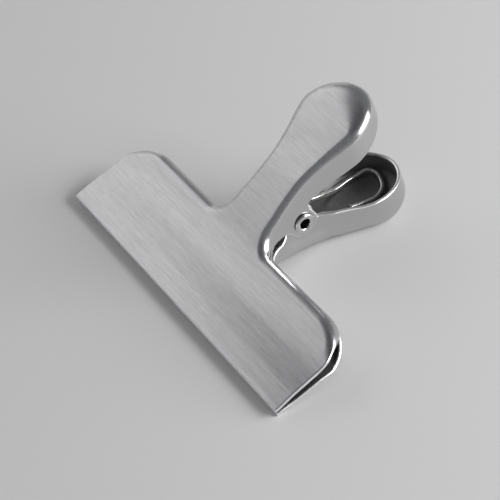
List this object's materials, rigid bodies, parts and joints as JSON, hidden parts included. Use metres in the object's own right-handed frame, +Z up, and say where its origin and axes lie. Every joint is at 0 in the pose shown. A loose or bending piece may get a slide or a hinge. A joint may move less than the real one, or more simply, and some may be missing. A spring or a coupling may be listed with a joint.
{
  "type": "binder clip",
  "caption": "Wide-jawed stainless spring clip: two stamped shells with dished paddle handles turn on a hollow rivet and a torsion spring holds the straight jaws shut.",
  "frame": {"origin": "centre of the clip's footprint, on the ground that it lies on", "axes": "+X across the jaws, -Y towards the tip of the jaws and +Y towards the paddle handles, +Z up from the lower shell to the upper shell"},
  "size_m": [0.075, 0.0554, 0.0294],
  "materials": {
    "upper_steel": "satin, brushed along the jaws, with polished rolled edges",
    "lower_steel": "satin, brushed along the jaws, with polished rolled edges",
    "rivet_steel": "bright, rolled",
    "spring_steel": "bright drawn wire"
  },
  "bodies": {
    "lower": {"lower_shell": "lower_steel", "pivot_tube": "rivet_steel", "spring_coil": "spring_steel", "spring_leg_lower": "spring_steel"},
    "upper": {"upper_shell": "upper_steel", "spring_leg_upper": "spring_steel"}
  },
  "joints": [
    {"name": "jaw_hinge", "type": "hinge", "parent": "lower", "child": "upper", "pos_m": [0, 0.00075, 0.009], "axis": [-1, 0, 0], "range_deg": [0, 38], "stiffness_Nm_per_rad": 0.2, "springref_deg": -85.94}
  ]
}
